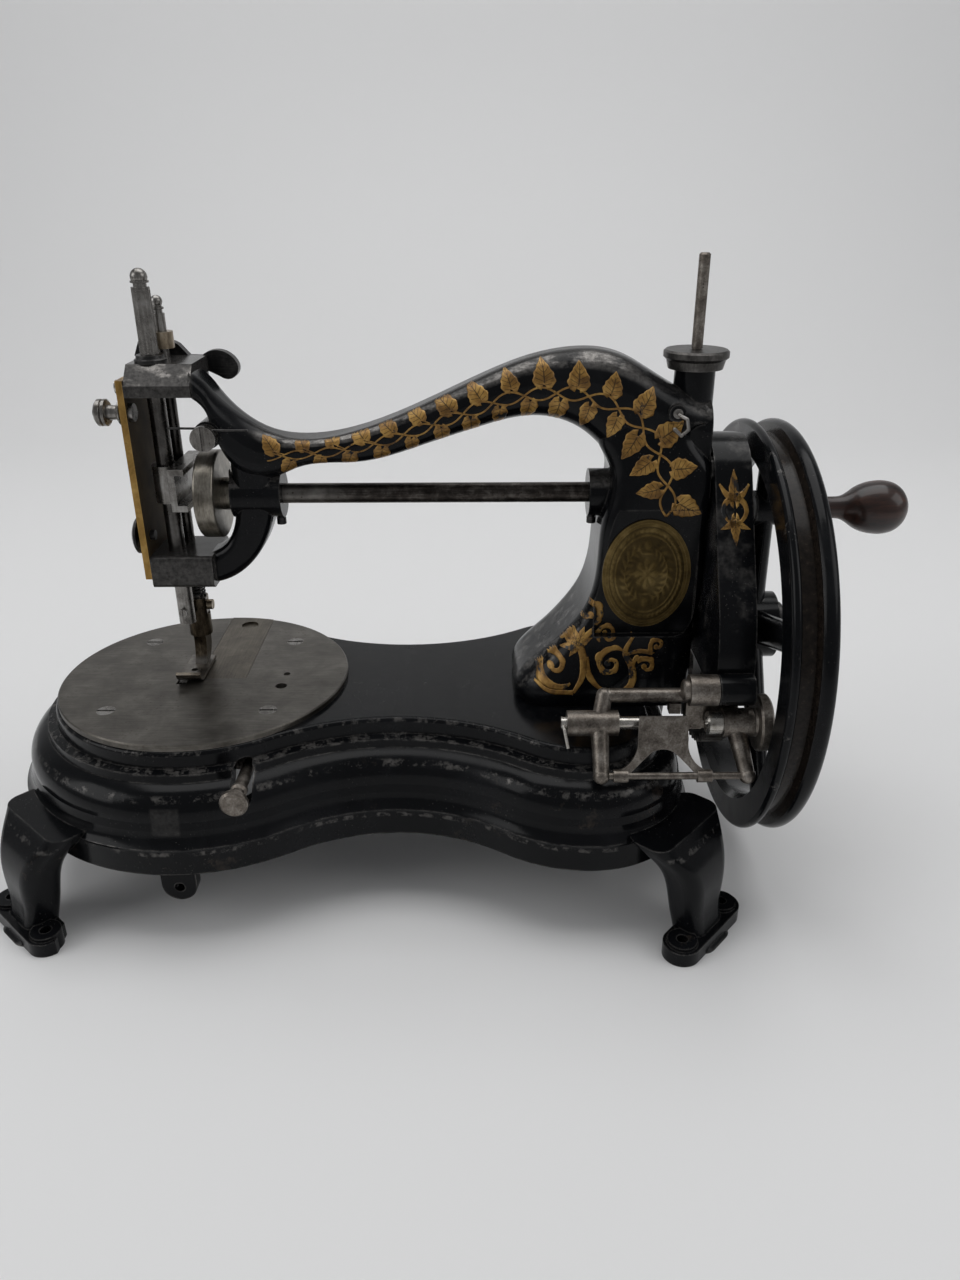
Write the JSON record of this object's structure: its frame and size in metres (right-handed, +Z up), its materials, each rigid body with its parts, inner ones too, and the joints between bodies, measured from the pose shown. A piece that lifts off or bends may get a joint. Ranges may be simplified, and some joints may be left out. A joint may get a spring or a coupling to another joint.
{
  "type": "sewing machine",
  "caption": "Antique hand-crank sewing machine: cast bed on cabriole feet, swan-neck arm, geared spoked wheel with wooden handle, bobbin winder, needle and presser bars and boat shuttle.",
  "frame": {"origin": "middle of the bounding box on the plane under the feet", "axes": "+X along the arm towards the hand wheel, +Y from the person sewing to the back, +Z up"},
  "size_m": [0.3754, 0.1884, 0.251],
  "materials": {
    "japanned_iron": "gloss black japan, worn at the edges",
    "stitch_plate_steel": "mottled worn steel",
    "slide_plate_steel": "browned steel",
    "bright_steel": "polished steel with age spots",
    "dark_steel": "blackened steel",
    "brown_steel": "speckled browned steel",
    "bronze_steel": "bronze-toned steel",
    "nickel": "dulled nickel plate",
    "brass": "golden-brown aged brass",
    "gear_iron": "oiled iron",
    "wood": "dark polished hardwood"
  },
  "bodies": {
    "base": {"bed_casting": "japanned_iron", "arm_casting": "japanned_iron", "arm_bolts": "dark_steel", "stitch_plate": "stitch_plate_steel", "plate_screws": "bright_steel", "shuttle_race": "brown_steel", "shuttle_stud": "brown_steel", "under_brackets": "brown_steel", "face_plate": "brass", "face_screws": "nickel", "tension_stud": "bright_steel", "tension_discs": "nickel", "thread_check": "nickel", "needle_bush": "dark_steel", "lifter_pin": "bronze_steel", "gear_guard": "japanned_iron", "guard_screws": "bright_steel", "wheel_axle": "dark_steel", "winder_pivot": "brown_steel", "spool_collar": "brown_steel", "spool_pin": "bright_steel", "badge_plate": "brass", "thread_hook": "dark_steel", "take_up_screw": "nickel", "take_up_spring": "bright_steel", "set_screws": "dark_steel"},
    "wheel": {"hand_wheel": "japanned_iron", "drive_gear": "gear_iron", "gear_screws": "dark_steel", "handle_bolt": "dark_steel"},
    "grip": {"handle_grip": "wood"},
    "shaft": {"upper_shaft": "bright_steel", "pinion": "gear_iron", "crank_disc": "bronze_steel", "crank_roller": "bright_steel"},
    "needle": {"needle_bar": "bright_steel", "needle_yoke": "bright_steel", "needle_screw": "bright_steel"},
    "lifter": {"lifter_lever": "dark_steel"},
    "presser": {"presser_bar": "bright_steel", "presser_collar": "bronze_steel", "presser_foot": "bronze_steel", "foot_screw": "bronze_steel", "presser_spring": "bright_steel"},
    "slide": {"slide_plate": "slide_plate_steel"},
    "rocker": {"shuttle_lever": "brown_steel"},
    "carrier": {"shuttle_carrier": "bright_steel", "shuttle": "bright_steel"},
    "reel": {"bobbin": "bright_steel"},
    "feed": {"feed_bar": "bright_steel"},
    "regulator": {"regulator_shaft": "brown_steel", "regulator_lever": "nickel"},
    "tension": {"tension_nut": "nickel"},
    "winder": {"winder_frame": "brown_steel", "winder_screw": "brown_steel", "winder_rod": "brown_steel"},
    "spindle": {"winder_spindle": "brown_steel", "winder_pulley": "brown_steel"},
    "tail": {"tail_spindle": "brown_steel"},
    "saddle": {"thread_saddle": "brown_steel"}
  },
  "joints": [
    {"name": "wheel_turn", "type": "hinge", "parent": "base", "child": "wheel", "pos_m": [0, 0, 0.1029], "axis": [1, 0, 0], "continuous": true},
    {"name": "grip_turn", "type": "hinge", "parent": "wheel", "child": "grip", "pos_m": [0, 0, 0.1545], "axis": [1, 0, 0], "continuous": true},
    {"name": "shaft_turn", "type": "hinge", "parent": "base", "child": "shaft", "pos_m": [0, 0, 0.1614], "axis": [1, 0, 0], "continuous": true},
    {"name": "needle_slide", "type": "slide", "parent": "base", "child": "needle", "axis": [0, 0, 1], "range_m": [-0.0176, 0.0084]},
    {"name": "lifter_turn", "type": "hinge", "parent": "base", "child": "lifter", "pos_m": [-0.115, 0.019, 0.211], "axis": [0, -1, 0], "range_deg": [0, 60]},
    {"name": "presser_slide", "type": "slide", "parent": "base", "child": "presser", "axis": [0, 0, 1], "range_m": [0, 0.006], "deforming": ["presser_spring"]},
    {"name": "plate_slide", "type": "slide", "parent": "base", "child": "slide", "axis": [0, 1, 0], "range_m": [0, 0.045]},
    {"name": "rocker_turn", "type": "hinge", "parent": "base", "child": "rocker", "pos_m": [0.01, 0, 0.054], "axis": [0, 0, 1], "range_deg": [-9.5, 9.5]},
    {"name": "carrier_slide", "type": "slide", "parent": "base", "child": "carrier", "axis": [0, 1, 0], "range_m": [-0.018, 0.018]},
    {"name": "reel_turn", "type": "hinge", "parent": "carrier", "child": "reel", "pos_m": [-0.0978, 0, 0.07054], "axis": [0, 1, 0], "continuous": true},
    {"name": "feed_slide", "type": "slide", "parent": "base", "child": "feed", "axis": [0, 1, 0], "range_m": [-0.0015, 0.0015]},
    {"name": "regulator_turn", "type": "hinge", "parent": "base", "child": "regulator", "pos_m": [-0.07775, -0.046, 0.065], "axis": [1, 0, 0], "range_deg": [-8, 8]},
    {"name": "tension_turn", "type": "hinge", "parent": "base", "child": "tension", "pos_m": [-0.128, -0.0075, 0.1955], "axis": [1, 0, 0], "range_deg": [-180, 180]},
    {"name": "winder_turn", "type": "hinge", "parent": "base", "child": "winder", "pos_m": [0.098, -0.057, 0.101], "axis": [-1, 0, 0], "range_deg": [0, 6]},
    {"name": "spindle_turn", "type": "hinge", "parent": "winder", "child": "spindle", "pos_m": [0.112, -0.057, 0.087], "axis": [1, 0, 0], "continuous": true},
    {"name": "tail_slide", "type": "slide", "parent": "winder", "child": "tail", "axis": [1, 0, 0], "range_m": [-0.006, 0], "stiffness_N_per_m": 200},
    {"name": "saddle_slide", "type": "slide", "parent": "winder", "child": "saddle", "axis": [1, 0, 0], "range_m": [-0.0008, 0.006]}
  ],
  "couplings": [
    {"joint": "shaft_turn", "follows": "wheel_turn", "ratio": -5},
    {"joint": "lifter_turn", "follows": "presser_slide", "rad_per_m": 174.5},
    {"joint": "carrier_slide", "follows": "rocker_turn", "m_per_rad": -0.1078}
  ]
}
